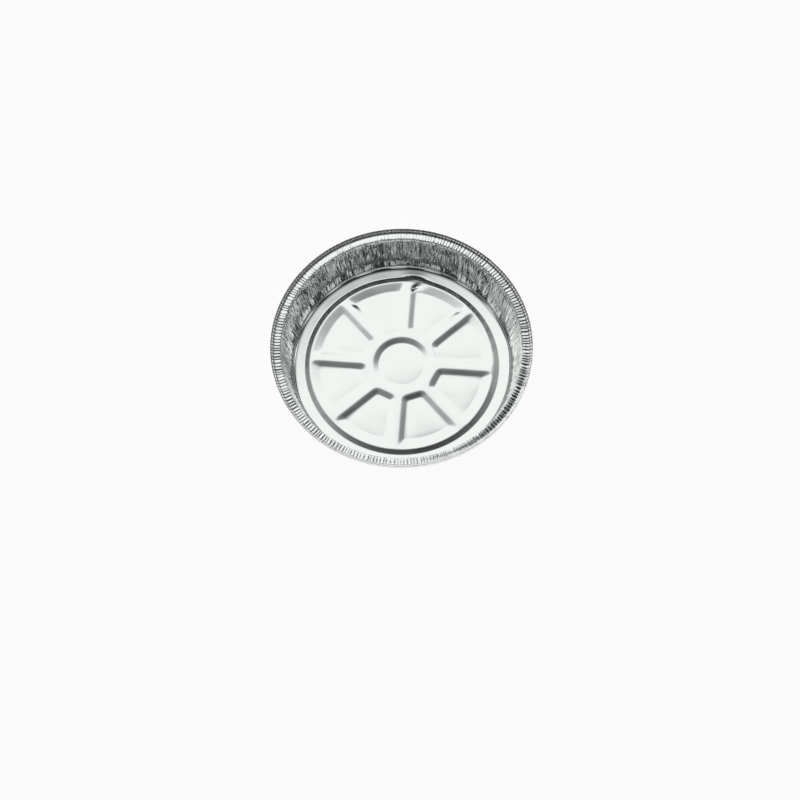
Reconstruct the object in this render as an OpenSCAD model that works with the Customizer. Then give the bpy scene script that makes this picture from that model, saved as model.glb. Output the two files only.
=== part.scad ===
// Round foil pie tin: one disc of aluminium foil, pressed into a pan with a
// ribbed floor, a pleated wall and a rim that is rolled outward and under.
// Millimetres, +Z up. The origin is on the table under the middle of the floor.

/* [Tin] */
// Diameter over the rolled rim
rim_d = 228.6; // [200:0.2:300]
// Height from the table to the top of the rim
tin_h = 44; // [25:0.5:80]
// Diameter at which the wall's line meets the floor
floor_d = 194; // [184:1:200]
// Thickness of the foil
foil = 0.09; // [0.06:0.01:0.2]

/* [Wall] */
// Radius of the corner between the floor and the wall
foot_r = 2.5; // [1.5:0.5:7]
// Pleats round the wall and the rim
pleats = 144; // [120:4:148]
// Depth of a full pleat, from ridge to valley
pleat_depth = 0.8; // [0.2:0.05:0.9]
// Share of its depth that the shallowest pleat loses
pleat_vary = 0.4; // [0:0.05:0.8]

/* [Rim] */
// Width of the rim, from the top of the wall to the outer edge
rim_w = 9; // [7.5:0.1:12]
// Width of the level flange between the wall and the rolled bead
flange_w = 5.5; // [4:0.1:6]
// Drop of the flange from the wall to the bead
flange_dip = 0.4; // [0.2:0.1:1]
// Rise of the bead's top over the flange
bead_rise = 4.6; // [3:0.1:6]
// Width of the bead's inner side, from its foot to its shoulder
bead_side = 1.1; // [0.8:0.1:1.5]
// Drop from the bead's top to its inner shoulder, and to its outer edge
shoulder_drop = 0.6; // [0.4:0.1:1]
edge_drop = 1.9; // [1.4:0.1:2.5]
// Width of the bead's outer shoulder, from its top to its edge
shoulder_w = 1.1; // [0.8:0.1:1.4]
// How far the rolled edge hangs under the bead's foot, and leans back in
roll_drop = 0.3; // [0:0.1:1]
roll_lean = 0.5; // [0.2:0.1:1]

/* [Floor ribs] */
// Height of the ribs pressed up from the floor
rib_h = 2; // [1:0.1:3.5]
// Width of a rib's sloping side, seen from above
rib_side = 5.4; // [4:0.1:6]
// Width of the rounded part of that side, next to the crest
rib_round = 2.6; // [1:0.1:3]
// Drop of the rounded part
rib_round_drop = 0.55; // [0.2:0.05:0.8]
// Width of the flat margin between the wall's line and the ring rib
margin_w = 10.5; // [7:0.1:12]
// Width of the ring rib at the floor
ring_w = 14; // [13:0.1:16]
// Spokes
spokes = 8; // [6:1:10]
// Width of a spoke at the floor
spoke_w = 14.4; // [12.5:0.1:18]
// Width of the hub over its flats, at the floor
hub_flats = 71; // [68:0.5:80]
// Diameter of the round panel in the hub, at the floor
hub_panel_d = 40.6; // [30:0.2:46]
// Corner radius of the panels between the spokes, at the floor
panel_corner = 2; // [1:0.5:6]

/* [Hidden] */

// Facets of the round floor shapes, and of a panel's corners
round_sides = pleats / 2;
corner_sides = 12;
// Steps in the corner at the foot of the wall
foot_steps = 2;
// Overlap of the wall's flat margin and the floor, and the margin's part beyond it
lap = 1.5;
beyond_lap = 0.8;
// Radii of the ring rib's outer and inner foot
ring_out_r = floor_d / 2 - margin_w;
ring_in_r = ring_out_r - ring_w;
// A cutter's spare length
spare = 1;
// Height of the slices that a panel's pocket is stretched between
hair = 0.001;

// The section runs along the hidden face, and the seen face lies one foil above
bead_top_z = tin_h - foil - pleat_depth / 2;
edge_r = rim_d / 2 - foil - pleat_depth / 2;
bead_foot_z = bead_top_z - bead_rise;
flange_z = bead_foot_z + flange_dip;
wall_top_r = rim_d / 2 - rim_w;
bead_foot_r = wall_top_r + flange_w;
wall_angle = atan2(flange_z, wall_top_r - floor_d / 2);
foot_start = floor_d / 2 - foot_r * tan(wall_angle / 2);
floor_edge_r = foot_start - beyond_lap;

// Each point is [radius, height, share of the pleat depth]
section = concat(
    [[floor_edge_r - lap, 0, 0]],
    [for (i = [0:foot_steps])
        let (a = wall_angle * i / foot_steps)
        [foot_start + foot_r * sin(a), foot_r * (1 - cos(a)), 0]],
    [
        [wall_top_r, flange_z, 1],
        [bead_foot_r, bead_foot_z, 1],
        [bead_foot_r + bead_side, bead_top_z - shoulder_drop, 1],
        [edge_r - shoulder_w, bead_top_z, 1],
        [edge_r, bead_top_z - edge_drop, 1],
        [edge_r - roll_lean, bead_foot_z - roll_drop, 1],
    ]);
last = len(section) - 1;

// Normal of one leg of the section, towards the seen face
function leg_normal(i) =
    let (
        leg = [section[i + 1].x - section[i].x, section[i + 1].y - section[i].y],
        long = norm(leg))
    [-leg.y, leg.x] / long;

// Direction halfway between the normals of the two legs at a point
function between_legs(i) = leg_normal(max(i - 1, 0)) + leg_normal(min(i, last - 1));
function point_normal(i) = between_legs(i) / norm(between_legs(i));

// Step from the hidden face to the seen face that keeps both legs one foil thick
function foil_step(i) = 2 * foil * between_legs(i) / (between_legs(i) * between_legs(i));

// Offset of a pleat's ridge or valley from the section, each a little different
function pleat_offset(column) =
    let (size = 1 - pleat_vary * (1 + sin(column * 137.5)) / 2)
    (column % 2 == 0 ? -1 : 1) * size * pleat_depth / 2;

// One ring of points: plain rings are coarse, pleated ones have two columns a pleat
function ring(i, step) =
    let (
        share = section[i].z,
        columns = share == 0 ? round_sides : 2 * pleats)
    [for (column = [0:columns - 1])
        let (
            a = 360 * column / columns,
            fold = share * pleat_offset(column) * point_normal(i),
            r = section[i].x + step.x + fold.x)
        [r * cos(a), r * sin(a), section[i].y + step.y + fold.y]];

// The seen face's rings from the floor to the lip, and the hidden face's back
rings = concat(
    [for (i = [0:last]) ring(i, foil_step(i))],
    [for (i = [last:-1:0]) ring(i, [0, 0])]);
function first_point(i) = i == 0 ? 0 : first_point(i - 1) + len(rings[i - 1]);

// Triangles between two rings, where b has m times as many points as a
function widening(a0, na, b0, nb) =
    let (m = nb / na, half = floor(m / 2))
    [for (k = [0:na - 1])
        let (a = a0 + k, a_next = a0 + (k + 1) % na)
        each concat(
            [for (j = [0:half - 1]) [a, b0 + m * k + j, b0 + m * k + j + 1]],
            [[a, b0 + m * k + half, a_next]],
            [for (j = [half:m - 1]) [a_next, b0 + m * k + j, b0 + (m * k + j + 1) % nb]])];

function turned_over(faces) = [for (f = faces) [f[0], f[2], f[1]]];

function strip(a0, na, b0, nb) =
    na == nb
    ? [for (k = [0:na - 1])
        let (next = (k + 1) % na)
        each [[a0 + k, b0 + k, b0 + next], [a0 + k, b0 + next, a0 + next]]]
    : na < nb ? widening(a0, na, b0, nb) : turned_over(widening(b0, nb, a0, na));

// The wall, its foot and the rolled rim, as one pleated skin of foil
module wall_and_rim() {
    starts = [for (i = [0:len(rings) - 1]) first_point(i)];
    faces = [for (i = [0:len(rings) - 1])
        let (next = (i + 1) % len(rings))
        each strip(starts[i], len(rings[i]), starts[next], len(rings[next]))];
    polyhedron([for (r = rings) each r], turned_over(faces), convexity = 10);
}

// Outline of one panel between two spokes, with its sides moved out by grow
module panel(grow) {
    half_angle = 180 / spokes;
    side = spoke_w / 2 + panel_corner;
    outer_r = ring_in_r - panel_corner;
    outer_a = half_angle - asin(side / outer_r);
    inner_x = hub_flats / 2 + panel_corner;
    inner_y = (inner_x * sin(half_angle) - side) / cos(half_angle);
    centres = [[outer_r * cos(outer_a), outer_r * sin(outer_a)], [inner_x, inner_y]];
    for (c = centres, flip = [-1, 1])
        translate([c.x, flip * c.y])
            circle(panel_corner + grow, $fn = corner_sides);
    arc_steps = round(outer_a * round_sides / 180);
    arc_r = ring_in_r + grow;
    polygon([for (i = [0:arc_steps])
        let (a = outer_a * (2 * i / arc_steps - 1))
        [arc_r * cos(a), arc_r * sin(a)]]);
}

module panel_slice(z, grow) {
    translate([0, 0, z])
        linear_extrude(hair)
            panel(grow);
}

// The hollow over one panel, from the floor to just over the ribs' crests
module panel_pocket() {
    hull() {
        panel_slice(0, 0);
        panel_slice(rib_h - rib_round_drop, rib_side - rib_round);
    }
    hull() {
        panel_slice(rib_h - rib_round_drop, rib_side - rib_round);
        panel_slice(rib_h, rib_side);
    }
    panel_slice(rib_h, rib_side);
}

// The hollows within the hub and outside the ring rib, as turned shapes
module hub_pocket() {
    r = hub_panel_d / 2;
    rotate_extrude($fn = round_sides / 2)
        polygon([[0, 0], [r, 0], [r + rib_side - rib_round, rib_h - rib_round_drop],
            [r + rib_side, rib_h], [r + rib_side, rib_h + spare], [0, rib_h + spare]]);
}

module outside_of_ring(edge) {
    r = ring_out_r;
    rotate_extrude($fn = round_sides)
        polygon([[edge, 0], [r, 0], [r - rib_side + rib_round, rib_h - rib_round_drop],
            [r - rib_side, rib_h], [r - rib_side, rib_h + spare], [edge, rib_h + spare]]);
}

// Everything under the floor's face out to the given radius, as a die of the ribs.
// Its edge's corners lie halfway between those of the wall's margin, which it overlaps.
module floor_die(edge) {
    difference() {
        rotate(180 / round_sides)
            translate([0, 0, -spare])
                cylinder(r = edge, h = rib_h + spare, $fn = round_sides);
        outside_of_ring(edge + spare);
        hub_pocket();
        for (i = [0:spokes - 1])
            rotate((i + 0.5) * 360 / spokes)
                panel_pocket();
    }
}

// The ribbed floor: one foil's thickness over the die
module ribbed_floor() {
    difference() {
        translate([0, 0, foil])
            floor_die(floor_edge_r);
        floor_die(floor_edge_r + spare);
    }
}

module pie_tin() {
    color("silver")
        union() {
            wall_and_rim();
            ribbed_floor();
        }
}

pie_tin();
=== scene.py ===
import math

import bpy
import numpy as np
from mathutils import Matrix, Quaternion, Vector


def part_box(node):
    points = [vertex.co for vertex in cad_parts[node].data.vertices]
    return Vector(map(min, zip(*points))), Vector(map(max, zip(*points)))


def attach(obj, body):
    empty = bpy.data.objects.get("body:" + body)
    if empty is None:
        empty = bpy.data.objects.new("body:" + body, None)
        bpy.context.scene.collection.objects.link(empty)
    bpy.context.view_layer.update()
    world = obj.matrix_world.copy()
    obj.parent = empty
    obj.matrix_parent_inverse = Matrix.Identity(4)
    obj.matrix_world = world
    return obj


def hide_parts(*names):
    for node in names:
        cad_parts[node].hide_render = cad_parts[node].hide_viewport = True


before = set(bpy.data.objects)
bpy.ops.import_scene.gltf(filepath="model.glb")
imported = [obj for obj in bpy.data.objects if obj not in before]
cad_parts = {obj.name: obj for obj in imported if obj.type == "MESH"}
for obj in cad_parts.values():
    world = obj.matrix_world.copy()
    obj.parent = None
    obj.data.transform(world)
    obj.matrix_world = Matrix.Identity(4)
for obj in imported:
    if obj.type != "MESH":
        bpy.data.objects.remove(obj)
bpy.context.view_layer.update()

# The tin: one disc of bright aluminium foil, pressed in one stroke. The dies emboss
# the floor's ribs, gather the wall into small pleats, and roll the crimped edge
# outward and under, so floor, wall and rim are a single sheet of metal.
MM = 0.001
FULL_TURN = 2 * math.pi
low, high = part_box("pie_tin")
rim_r = min(high.x - low.x, high.y - low.y) / 2 / MM
tin_h = high.z / MM
foil = 0.09

# Floor ribs, in millimetres: a hub, eight spokes and a ring. A rib's side runs from its
# foot to its crest, and the fillet and the shoulder are shares of it.
rib_h = 1.62
rib_side = 6.6
foot_fillet = 0.10
shoulder = 0.28
spokes = 8
spoke_half = 8.0
ring_in_r = 72.5
ring_in_side = 10.4
ring_out_r = 87.0
hub_flat_r = 36.0
hub_panel_r = 20.3
panel_corner = 1.6
corner_power = 4


def smooth_step(low_end, high_end, value):
    share = np.clip((value - low_end) / (high_end - low_end), 0, 1)
    return share * share * (3 - 2 * share)


def nearness(angle, middle, spread):
    """1 at the middle angle, and falling softly to nothing either way round from it."""
    off = np.angle(np.exp(1j * (angle - middle)))
    return np.exp(-((off / spread) ** 2))


def rib_profile(inside, side=rib_side):
    """Height of a rib inside its foot line: a small fillet, a straight side, a round shoulder."""
    share = np.clip(inside / side, 0, 1)
    height = np.where(share < foot_fillet, share**2 / (2 * foot_fillet), share - foot_fillet / 2)
    height = height - np.maximum(share - 1 + shoulder, 0) ** 2 / (2 * shoulder)
    return rib_h * height / (1 - foot_fillet / 2 - shoulder / 2)


def panel_edges(radius, angle):
    """Distances past the three kinds of edge of the nearest panel, positive on the ribs."""
    sector = FULL_TURN / spokes
    local = np.abs(np.mod(angle, sector) - sector / 2)
    across = radius * np.sin(sector / 2 - local)
    return spoke_half - across, radius - ring_in_r, hub_flat_r - radius * np.cos(local)


# The ring's outer side is steep, but gentler at the right. Each panel is crowned a
# little, and the margin between the ring and the wall rises outward.
ring_out_side = 5.1
gentle_side = math.radians(0)
gentle_spread = math.radians(40)
gentle_more = 2.6
dome_h = 0.45
dome_edge = 6.0
dome_blend = 3.0
dome_far = 40
margin_rise = 0.14


def floor_height(radius, angle):
    """Height of the pressed floor above the table."""
    edges = panel_edges(radius, angle)
    by_spoke, by_ring, by_hub = edges
    gentle = (by_spoke, by_ring * rib_side / ring_in_side, by_hub)
    reach = sum(np.maximum(edge + panel_corner, 0) ** corner_power for edge in gentle)
    past = reach ** (1 / corner_power) - panel_corner
    out_side = ring_out_side + gentle_more * nearness(angle, gentle_side, gentle_spread)
    ribs = np.minimum(rib_profile(past), rib_profile(ring_out_r - radius, out_side))
    ribs = np.minimum(ribs, rib_profile(radius - hub_panel_r))
    closeness = sum(np.exp(np.minimum(edge, dome_far) / dome_blend) for edge in edges)
    depth = np.maximum(-dome_blend * np.log(closeness), hub_panel_r - radius)
    dome = dome_h * (1 - np.exp(-np.maximum(depth, 0) / dome_edge))
    return ribs + dome + margin_rise * np.maximum(radius - ring_out_r, 0)


# The dent: something struck the ring rib at the outer end of one spoke, which pushed
# the rib's side outward and left a sharp crease across it.
dent_angle = math.radians(86.0)
dent_spread = math.radians(6)
dent_start_r = 74
dent_full_r = 84
dent_push = 2.6
crease_r = 79.0
crease_angle = math.radians(83.9)
crease_slant = math.radians(0.54)
crease_width = 2.2
crease_depth = 1.2
crease_reach = 4.2
crease_fade_h = 1


def dented_height(radius, angle):
    pushed = dent_push * nearness(angle, dent_angle, dent_spread)
    height = floor_height(radius - pushed * smooth_step(dent_start_r, dent_full_r, radius), angle)
    off = (angle - crease_angle - crease_slant * (crease_r - radius)) * radius
    along = np.exp(-(((radius - crease_r) / crease_reach) ** 2))
    crease = crease_depth * along * np.exp(-((off / crease_width) ** 2))
    return height - crease * np.minimum(height, crease_fade_h)


# The floor's rings of points, closest where a rib's side turns. Past foot_start the
# section of the wall takes over.
foot_start = 93.0
middle_r = 3


def spaced(*stretches):
    """Radii along stretches given as (start, end, steps), each without its end."""
    runs = [np.linspace(start, end, steps, endpoint=False) for start, end, steps in stretches]
    return np.concatenate(runs)


floor_rings = spaced(
    (middle_r, hub_panel_r - 1, 6),
    (hub_panel_r - 1, hub_panel_r + rib_side, 10),
    (hub_panel_r + rib_side, hub_flat_r - rib_side, 2),
    (hub_flat_r - rib_side, hub_flat_r + 2.5, 12),
    (hub_flat_r + 2.5, ring_in_r - 5, 8),
    (ring_in_r - 5, ring_in_r + rib_side, 14),
    (ring_in_r + rib_side, ring_out_r - rib_side, 2),
    (ring_out_r - rib_side, ring_out_r + 1, 11),
    (ring_out_r + 1, foot_start, 3),
)

# The floor's columns, one for each crimp of the rim, lie along a spoke's lines and even
# out towards the wall. Inside column_r they close up towards the middle.
crimps = 240
side_columns = 9
column_step = 0.86
column_r = 21
sector_columns = crimps // spokes
panel_columns = sector_columns - 2 * side_columns - 1


def floor_angles(radius):
    sector = FULL_TURN / spokes
    reach = np.arcsin(column_step * np.arange(side_columns + 1) / max(radius, column_r))
    gap = np.linspace(reach[-1], sector - reach[-1], panel_columns + 2)[1:-1]
    one = np.concatenate([reach, gap, sector - reach[:0:-1]])
    fitted = np.concatenate([one + k * sector for k in range(spokes)])
    even = FULL_TURN * np.arange(crimps) / crimps
    share = smooth_step(ring_out_r - rib_side - 1, foot_start, radius)
    return fitted * (1 - share) + even * share


# Section of the wall and rim: a round foot, the wall's straight line, the level flange,
# the bead with a step in its inner side, and the edge rolled down and under.
floor_r = 97.0
foot_round = 4.1
foot_steps = 4
wall_top_r = rim_r - 9.0
bead_foot_r = rim_r - 3.5
flange_z = tin_h - 4.2
bead_foot_z = tin_h - 4.5
step_in_r = bead_foot_r + 1.25
step_in_z = bead_foot_z + 1.8
step_out_r = step_in_r + 0.72
step_out_z = step_in_z + 0.12
bead_out_r = rim_r - 0.32
bead_top_z = bead_foot_z + 3.62
roll_z = tin_h - 5.35
lip_in = 1.4
lip_rise = 0.3


def margin_z(radius):
    return margin_rise * (radius - ring_out_r)


def rounded_section(corners):
    """Points along legs joined by arcs: corners are (r, z, radius, points on the leg before, steps)."""
    points = [np.array(corners[0][:2])]
    for before, here, after in zip(corners, corners[1:], corners[2:]):
        a, b, c = (np.array(corner[:2], float) for corner in (before, here, after))
        arc_r, leg_points, arc_steps = here[2:]
        to_a = (a - b) / np.linalg.norm(a - b)
        to_c = (c - b) / np.linalg.norm(c - b)
        half = math.acos(float(to_a @ to_c)) / 2
        cut = arc_r / math.tan(half)
        start = b + to_a * cut
        points += [points[-1] + (start - points[-1]) * k / leg_points for k in range(1, leg_points)]
        middle = b + (to_a + to_c) / np.linalg.norm(to_a + to_c) * arc_r / math.sin(half)
        from_start = start - middle
        from_end = b + to_c * cut - middle
        turn = math.acos(float(np.clip(from_start @ from_end / arc_r**2, -1, 1)))
        for k in range(arc_steps + 1):
            share = k / arc_steps
            arm = math.sin((1 - share) * turn) * from_start + math.sin(share * turn) * from_end
            points.append(middle + arm / math.sin(turn))
    last = np.array(corners[-1][:2])
    count = corners[-1][3]
    points += [points[-1] + (last - points[-1]) * k / count for k in range(1, count + 1)]
    return np.array(points)


section = rounded_section(
    [
        (foot_start, margin_z(foot_start), 0, 1, 0),
        (floor_r, margin_z(floor_r), foot_round, 1, foot_steps),
        (wall_top_r, flange_z, 0.9, 7, 2),
        (bead_foot_r, bead_foot_z, 0.7, 2, 2),
        (step_in_r, step_in_z, 0.12, 2, 1),
        (step_out_r, step_out_z, 0.12, 2, 1),
        (bead_out_r - 0.14, bead_top_z, 0.05, 2, 1),
        (bead_out_r - 0.3, roll_z, 0.4, 2, 1),
        (bead_out_r - 0.3 - lip_in, roll_z + lip_rise, 0, 1, 0),
    ]
)
legs = np.diff(section, axis=0)
leg_lengths = np.linalg.norm(legs, axis=1)
leg_normals = np.stack([-legs[:, 1], legs[:, 0]], 1) / leg_lengths[:, None]
section_normals = np.vstack([leg_normals[:1], leg_normals[:-1] + leg_normals[1:], leg_normals[-1:]])
section_normals /= np.linalg.norm(section_normals, axis=1)[:, None]

# Distances along the section at which the wall starts, turns into the flange, and meets
# the bead. The turn starts a little below the flange.
turn_drop = 0.8
section_run = np.concatenate([[0], np.cumsum(leg_lengths)])
wall_foot_run = section_run[1 + foot_steps]
wall_top_run = section_run[np.argmax(section[:, 1] > flange_z - turn_drop)]
bead_run = section_run[np.argmax(section[:, 0] > bead_foot_r)]

# Pleats: crimps of the rim, each a little different, that run out down the wall, and
# looser wrinkles between them that lean and wander. A crimp is four columns wide.
rng = np.random.default_rng(11)


def wavering(knots):
    """A smooth random curve round the tin, from -1 to 1, as a function of the angle."""
    heights = rng.uniform(-1, 1, knots)

    def curve(angle):
        place = np.mod(angle / FULL_TURN, 1) * knots
        near = np.floor(place).astype(int)
        between = place - near
        ease = between * between * (3 - 2 * between)
        return heights[near % knots] * (1 - ease) + heights[(near + 1) % knots] * ease

    return curve


crimp_wander = wavering(150)
crimp_size = wavering(240)
crimp_group = wavering(52)
slant = wavering(26)
coarse_top = wavering(230)
coarse_low = wavering(210)
fine_top = wavering(480)
fine_middle = wavering(460)
fine_low = wavering(440)
patches = wavering(24)
crimp_shape = (-1.0, -0.1, 1.0, 0.1)
columns = len(crimp_shape) * crimps
wander_columns = 1.2
swell_columns = 0.4
even_angles = FULL_TURN * np.arange(columns) / columns
stray = wander_columns * crimp_wander(even_angles) + swell_columns * crimp_size(even_angles)
rim_angles = even_angles + FULL_TURN / columns * stray

# Depth of the crimps round the rim: deeper at the sides than at the front and back, at
# the right than the left, at the front than the back, and most of all in one stretch
crimp_mean = 0.92
crimp_sides = 0.10
crimp_right = 0.12
crimp_front = 0.22
crimp_strong = 0.20
strong_side = math.radians(342)
strong_spread = math.radians(42)
crimp_unlike = 0.55
group_unlike = 0.38


def crimp_teeth(angle):
    """How far each column of the rim stands in or out of its crimp, as a share of the depth."""
    deep = crimp_mean + crimp_sides * np.cos(2 * angle) + crimp_right * np.cos(angle)
    deep = deep - crimp_front * np.sin(angle) + crimp_strong * nearness(angle, strong_side, strong_spread)
    size = (1 + crimp_unlike * crimp_size(angle)) * (1 + group_unlike * crimp_group(angle))
    return np.tile(crimp_shape, crimps) * size * deep


# Depths of the crimps on the flange and at the top of the wall, and of the wrinkles
crimp_rim = 0.38
crimp_wall = 0.10
bead_flattening = 0.55
wrinkle_fine = 0.36
wrinkle_coarse = 0.30
wrinkle_slant = 0.04
patch_mean = 0.8
patch_swing = 0.4
low_end_up = 0.55
top_start_up = 0.45
turn_w = 1.5
rim_hold = 0.9


def pleat_height(run):
    """Offset of the pleated foil from its section, round the tin, at a distance along the section."""
    angle = rim_angles
    up = np.clip((run - wall_foot_run) / (wall_top_run - wall_foot_run), 0, 1)
    on_rim = smooth_step(wall_top_run - turn_w, wall_top_run + turn_w, run)
    on_bead = smooth_step(bead_run - 0.5, bead_run + 2.5, run)
    tooth_h = crimp_wall * up**2 * (1 - on_rim) + crimp_rim * on_rim * (1 - bead_flattening * on_bead)
    lean = angle + wrinkle_slant * slant(angle) * (1 - up)
    low_share = smooth_step(0, low_end_up, up)
    top_share = smooth_step(top_start_up, 1, up)
    fine = fine_low(lean) * (1 - low_share) + fine_middle(lean) * (low_share - top_share)
    fine = fine + fine_top(lean) * top_share
    coarse = coarse_low(lean) * (1 - top_share) + coarse_top(lean) * top_share
    patchy = patch_mean + patch_swing * patches(angle)
    loose = wrinkle_fine * (1 - 2 * np.abs(fine)) * patchy + wrinkle_coarse * coarse
    on_wall = smooth_step(-0.02, 0.12, up) * (1 - rim_hold * on_rim) * (run > wall_foot_run - 2)
    return crimp_teeth(angle) * tooth_h + loose * on_wall


# Soft unevenness of the thin sheet: waves of these lengths and heights, each in a
# direction of its own, all over the floor and fading out past uneven_r
uneven_r = 86
uneven_waves = ((34, 0.03), (27, 0.03), (19, 0.02), (15, 0.015), (11, 0.008), (8, 0.005))
uneven = []
for wave_length, wave_height in uneven_waves:
    wave_way = rng.uniform(-1, 1, 2) / wave_length
    wave_start = rng.uniform(0, FULL_TURN)
    uneven.append((wave_way, wave_start, wave_height))


def unevenness(x, y):
    waves = (height * np.sin(FULL_TURN * (way[0] * x + way[1] * y) + start) for way, start, height in uneven)
    return sum(waves)


# The rim has sunk a little at the lower right, and the flange bends down to it
sag = 1.7
sag_side = math.radians(335)
sag_spread = math.radians(30)
sag_most = 1.2


def tin_rings():
    """The seen face as rings of points, from the middle of the floor to the rolled edge."""
    rings = []
    for radius in floor_rings:
        angle = floor_angles(radius)
        height = dented_height(radius, angle)
        x, y = radius * np.cos(angle), radius * np.sin(angle)
        on_floor = 1 - smooth_step(uneven_r, foot_start, radius)
        height = height + np.maximum(unevenness(x, y), -height) * on_floor
        rings.append(np.stack([x, y, height], 1))
    sunk = sag * nearness(rim_angles, sag_side, sag_spread)
    for (r, z), (normal_r, normal_z), run in zip(section, section_normals, section_run):
        fold = pleat_height(run)
        radius = r + normal_r * fold
        out = np.clip((r - wall_top_r) / (bead_foot_r - wall_top_r), 0, sag_most)
        height = z + normal_z * fold - sunk * out
        rings.append(np.stack([radius * np.cos(rim_angles), radius * np.sin(rim_angles), height], 1))
    return rings


def strip_faces(first, count, next_first, next_count):
    """Faces between two rings; the second may have a whole number of times as many points."""
    faces = []
    share = next_count // count
    middle = share // 2
    for k in range(count):
        here, after = first + k, first + (k + 1) % count
        if share == 1:
            faces.append((here, next_first + k, next_first + (k + 1) % count, after))
            continue
        fan = [next_first + (share * k + j) % next_count for j in range(share + 1)]
        faces += [(here, fan[j], fan[j + 1]) for j in range(middle)]
        faces.append((here, fan[middle], after))
        faces += [(after, fan[j], fan[j + 1]) for j in range(middle, share)]
    return faces


def point_normals(points, faces):
    """Normals of a surface at its points."""
    trial = bpy.data.meshes.new("seen_face")
    trial.from_pydata(points.tolist(), [], faces)
    normals = np.zeros(len(points) * 3)
    trial.vertices.foreach_get("normal", normals)
    bpy.data.meshes.remove(trial)
    return normals.reshape(-1, 3)


def tin_mesh():
    """A closed mesh: the seen face, the hidden face one foil below it, and the lip's edge."""
    rings = tin_rings()
    starts = np.cumsum([1] + [len(ring) for ring in rings])
    middle = np.array([[0, 0, rings[0][:, 2].mean()]])
    seen = np.vstack([middle] + rings)
    faces = [(0, 1 + k, 1 + (k + 1) % len(rings[0])) for k in range(len(rings[0]))]
    for i in range(len(rings) - 1):
        faces += strip_faces(starts[i], len(rings[i]), starts[i + 1], len(rings[i + 1]))
    hidden = seen - point_normals(seen, faces) * foil
    lift = max(0.0, -float(hidden[:, 2].min()))
    seen[:, 2] += lift
    hidden[:, 2] += lift
    count = len(seen)
    under = [tuple(count + v for v in reversed(face)) for face in faces]
    lip = starts[len(rings) - 1]
    edge = []
    for k in range(columns):
        here, after = lip + k, lip + (k + 1) % columns
        edge.append((here, count + here, count + after, after))
    mesh = bpy.data.meshes.new("pressed_foil")
    mesh.from_pydata((np.vstack([seen, hidden]) * MM).tolist(), [], faces + under + edge)
    finishes = [0] * len(faces) + [1] * (len(under) + len(edge))
    mesh.polygons.foreach_set("material_index", finishes)
    mesh.polygons.foreach_set("use_smooth", [True] * len(mesh.polygons))
    mesh.update()
    return mesh


class Signal:
    """An output socket of a shader tree, so that shader maths reads as arithmetic."""

    def __init__(self, graph, socket):
        self.graph = graph
        self.socket = socket

    def maths(self, operation, *values):
        return self.graph.node("ShaderNodeMath", {"operation": operation}, dict(enumerate(values)))

    def part(self, axis):
        return self.graph.node("ShaderNodeSeparateXYZ", sockets={0: self}, output=axis)

    def __add__(self, other):
        return self.maths("ADD", self, other)

    def __sub__(self, other):
        return self.maths("SUBTRACT", self, other)

    def __rsub__(self, other):
        return self.maths("SUBTRACT", other, self)

    def __mul__(self, other):
        return self.maths("MULTIPLY", self, other)

    def __truediv__(self, other):
        return self.maths("DIVIDE", self, other)

    def __rtruediv__(self, other):
        return self.maths("DIVIDE", other, self)

    __radd__ = __add__
    __rmul__ = __mul__


class Graph:
    """A shader tree whose nodes are made by one method."""

    def __init__(self, tree):
        self.tree = tree

    def node(self, kind, settings=None, sockets=None, output=0):
        made = self.tree.nodes.new(kind)
        for name, value in (settings or {}).items():
            setattr(made, name, value)
        for name, value in (sockets or {}).items():
            self.join(made.inputs[name], value)
        return Signal(self, made.outputs[output])

    def join(self, target, value):
        if isinstance(value, Signal):
            self.tree.links.new(value.socket, target)
        else:
            target.default_value = value

    def soft_rise(self, value, start, end, least=0.0):
        """Rises softly from its least to 1 while the value goes from start to end."""
        return self.node(
            "ShaderNodeMapRange",
            {"interpolation_type": "SMOOTHSTEP"},
            {"Value": value, "From Min": start, "From Max": end, "To Min": least},
        )

    def blend(self, share, first, second):
        """The first colour where the share is 0, and the second where it is 1."""
        return self.node(
            "ShaderNodeMix",
            {"data_type": "RGBA"},
            {"Factor": share, "A": first, "B": second},
            output="Result",
        )


def new_material(name):
    material = bpy.data.materials.new(name)
    material.use_nodes = True
    return material, Graph(material.node_tree), material.node_tree.nodes["Principled BSDF"].inputs


# Finish of the foil: bright inside and satin outside, as it comes from the mill, with
# a duller strip on the outer side of the ring rib, whose colour is darkened there as painted shade
bright_colour = (0.912, 0.925, 0.912)
bright_roughness = 0.12
bright_grain = 0.006
bright_folds = 0.9
satin_colour = (0.86, 0.87, 0.86)
satin_roughness = 0.30
satin_grain = 0.010
satin_folds = 0.25
smear_shade = 0.965
smear_roughness = 0.10
mill_roughness = 0.06
# Painted shade: how far the colour is darkened on the ring rib's outer side
painted_shade = 0.54
ring_side_roughness = 0.16


def shaded(colour, shade):
    return (*(shade * channel for channel in colour), 1)


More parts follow.
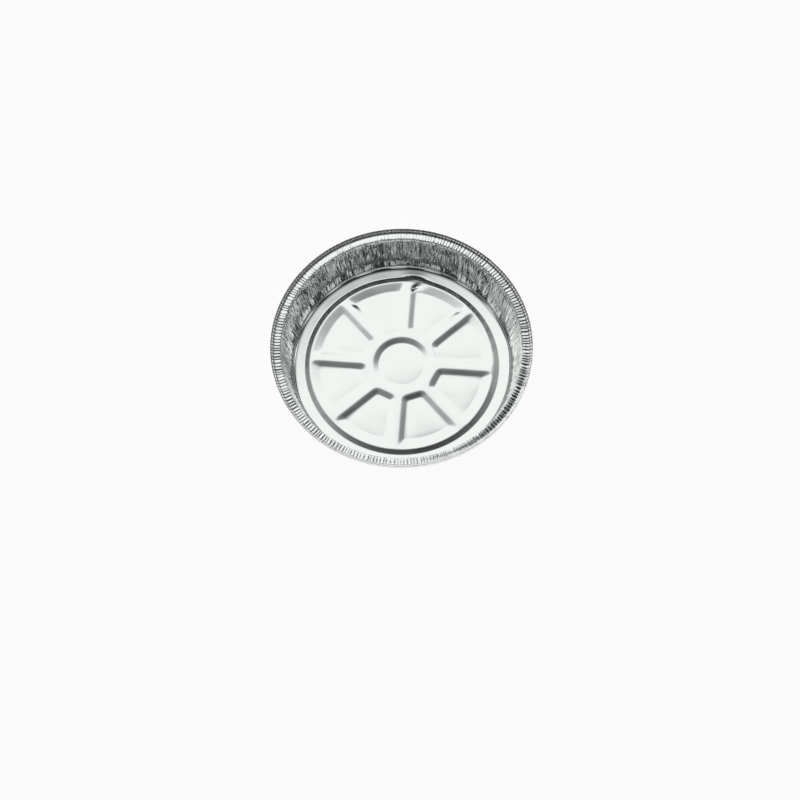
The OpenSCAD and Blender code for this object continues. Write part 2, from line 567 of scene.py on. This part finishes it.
def foil_material(name, colour, roughness, grain, fold_depth):
    """Rolled aluminium: lines from the mill one way, soft smears, tiny creases, the wall's folds, and
    painted shade on the ring rib's outer side.
    """
    material, graph, surface = new_material(name)
    place = graph.node("ShaderNodeTexCoord", output="Object")
    along_mill = graph.node("ShaderNodeMapping", sockets={"Vector": place, "Scale": (1, 0.04, 1)})
    lines = graph.node("ShaderNodeTexNoise", sockets={"Vector": along_mill, "Scale": 1800, "Detail": 3})
    smears = graph.node("ShaderNodeTexNoise", sockets={"Vector": place, "Scale": 45, "Detail": 3})
    creases = graph.node("ShaderNodeTexNoise", sockets={"Vector": place, "Scale": 650, "Detail": 2})
    up_wall = graph.node("ShaderNodeMapping", sockets={"Vector": place, "Scale": (1, 1, 0.08)})
    folds = graph.node(
        "ShaderNodeTexNoise",
        sockets={"Vector": up_wall, "Scale": 300, "Detail": 1.5, "Distortion": 0.25},
    )
    x, y = place.part("X"), place.part("Y")
    off_axis = x.maths("SQRT", x * x + y * y)
    on_wall = graph.soft_rise(off_axis, (floor_r + 0.5) * MM, (floor_r + 2.5) * MM)
    below_rim = graph.soft_rise(off_axis, (wall_top_r + 1) * MM, (wall_top_r - 1) * MM, 0.3)
    past_crest = graph.soft_rise(off_axis, (ring_out_r - 5.4) * MM, (ring_out_r - 4.0) * MM)
    above_foot = graph.soft_rise(off_axis, (ring_out_r + 0.3) * MM, (ring_out_r - 0.7) * MM)
    # The strip on the ring rib's outer side where shade is painted into the colour, and where the foil is
    # made rougher
    painted_shade_strip = past_crest * above_foot
    tint = graph.blend(smears, (*colour, 1), shaded(colour, smear_shade))
    # Painted shade: the colour on that strip is darkened to stand in for the dark reflections of the rib's
    # outer side
    tint = graph.blend(painted_shade_strip, tint, shaded(colour, painted_shade))
    rough = roughness + (smears - 0.5) * smear_roughness + (lines - 0.5) * mill_roughness
    height = (lines * 0.35 + creases * 0.65) * grain + folds * on_wall * below_rim * fold_depth
    bump = graph.node(
        "ShaderNodeBump",
        sockets={"Height": height, "Strength": 1.0, "Distance": MM},
        output="Normal",
    )
    surface["Metallic"].default_value = 1.0
    graph.join(surface["Base Color"], tint)
    graph.join(surface["Roughness"], rough + painted_shade_strip * ring_side_roughness)
    graph.join(surface["Normal"], bump)
    return material


bright_foil = foil_material("bright_foil", bright_colour, bright_roughness, bright_grain, bright_folds)
satin_foil = foil_material("satin_foil", satin_colour, satin_roughness, satin_grain, satin_folds)
tin = bpy.data.objects.new("pressed_foil_tin", tin_mesh())
bpy.context.scene.collection.objects.link(tin)
tin.data.materials.append(bright_foil)
tin.data.materials.append(satin_foil)
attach(tin, "root")
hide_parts("pie_tin")

# The table: a wide white sheet that the tin stands on. It glows faintly for what sees
# it, so that it reads as plain white paper and still takes the tin's soft shadow.
table_r = 40.0
table_sides = 96
table_glow = 0.94
paper_colour = (0.93, 0.93, 0.93, 1)
paper_roughness = 0.9
white = (1, 1, 1, 1)
table_turns = [FULL_TURN * k / table_sides for k in range(table_sides)]
table_corners = [(table_r * math.cos(turn), table_r * math.sin(turn), 0) for turn in table_turns]
table_mesh = bpy.data.meshes.new("white_table")
table_mesh.from_pydata(table_corners, [], [tuple(range(table_sides))])
table = bpy.data.objects.new("white_table", table_mesh)
bpy.context.scene.collection.objects.link(table)
table_material, table_graph, table_surface = new_material("white_paper")
table_surface["Base Color"].default_value = paper_colour
table_surface["Roughness"].default_value = paper_roughness
by_camera = table_graph.node("ShaderNodeLightPath", output="Is Camera Ray")
by_gloss = table_graph.node("ShaderNodeLightPath", output="Is Glossy Ray")
by_glass = table_graph.node("ShaderNodeLightPath", output="Is Transmission Ray")
seen_share = (by_camera + by_gloss + by_glass) * table_glow
glow = table_graph.node("ShaderNodeEmission", sockets={"Color": white, "Strength": 1.0})
paper = Signal(table_graph, table_graph.tree.nodes["Principled BSDF"].outputs[0])
table_mix = table_graph.node("ShaderNodeMixShader", sockets={0: seen_share, 1: paper, 2: glow})
table_graph.join(table_graph.tree.nodes["Material Output"].inputs["Surface"], table_mix)
table.data.materials.append(table_material)

# The light: a wide round panel hangs level over the table, behind the tin and to its
# left, so that its soft near edge lies askew above the tin. White screens stand round
# the table with gaps between them, in a room with pale walls and a dim ceiling.
world = bpy.data.worlds.new("studio")
bpy.context.scene.world = world
world.use_nodes = True
sky = Graph(world.node_tree)
lowest_slope = 0.03
direction = sky.node("ShaderNodeTexCoord", output="Generated")
across, along, upward = direction.part("X"), direction.part("Y"), direction.part("Z")
upright = upward.maths("MAXIMUM", upward, lowest_slope)

# Places on the panel are slopes from the upright, to the right and to the back
panel_right = -0.66
panel_back = 1.6
panel_r = 1.43
panel_edge = (0.31, -0.12)
panel_haze = (0.62, 0.34)
panel_level = 1.0
haze_level = 0.22
to_right = across / upright - panel_right
to_back = along / upright - panel_back
past_panel = across.maths("SQRT", to_right * to_right + to_back * to_back) - panel_r
panel = sky.soft_rise(past_panel, *panel_edge)
haze = sky.soft_rise(past_panel, *panel_haze)

# The screens' feet and heads are heights of the direction of sight, from 0 at the
# table's level to 1 straight up
screens = 13
screen_edge = (0.05, 0.5)
screen_foot = (0.24, 0.40)
screen_head = (0.77, 0.66)
screen_level = 0.82
screen_dimness = 0.4
turn_round = across.maths("ARCTAN2", across, along)
screen = sky.soft_rise(turn_round.maths("SINE", turn_round * screens), *screen_edge)
screen = screen * sky.soft_rise(upright, *screen_foot) * sky.soft_rise(upright, *screen_head)

# The room's pale walls are darker at the front than at the back
ceiling_level = 0.015
wall_level = 0.07
wall_dimness = 0.85
wall_power = 1.5
room_tint = (0.95, 0.975, 1.0, 1)
panel_tint = (0.985, 1.0, 0.98, 1)
lowness = 1 - upright
room = ceiling_level + wall_level * lowness.maths("POWER", lowness, wall_power) * (1 + along * wall_dimness)
room = room + screen_level * screen * (1 + along * screen_dimness)
room = room.maths("MINIMUM", room, 1) + haze * haze_level
lit = room + panel * (panel_level - room)
seen_direct = sky.node("ShaderNodeLightPath", output="Is Camera Ray")
background = sky.tree.nodes["Background"].inputs
sky.join(background["Color"], sky.blend(seen_direct, sky.blend(panel, room_tint, panel_tint), white))
sky.join(background["Strength"], lit.maths("MAXIMUM", lit, seen_direct))

# The camera: it looks down on the floor of the tin as the photograph does, from in
# front, with a short telephoto lens that keeps the rim's ellipse nearly even.
camera_distance = 1.3
camera_up = math.radians(65.43)
camera_turn = math.radians(5.55)
camera_roll = math.radians(-1.55)
aim_right = -2.39 * MM
aim_front = 34.82 * MM
lens_mm = 65.45
film_mm = 36.0
camera_data = bpy.data.cameras.new("camera")
camera_data.lens = lens_mm
camera_data.sensor_width = film_mm
camera = bpy.data.objects.new("camera", camera_data)
bpy.context.scene.collection.objects.link(camera)
front = Vector((math.sin(camera_turn), -math.cos(camera_turn), 0))
right = Vector((math.cos(camera_turn), math.sin(camera_turn), 0))
camera.location = camera_distance * (math.cos(camera_up) * front + math.sin(camera_up) * Vector((0, 0, 1)))
aim = aim_right * right + aim_front * front
level_view = (aim - camera.location).to_track_quat("-Z", "Y")
camera.rotation_euler = (level_view @ Quaternion((0, 0, 1), camera_roll)).to_euler()
bpy.context.scene.camera = camera
bpy.context.scene.view_settings.view_transform = "Standard"
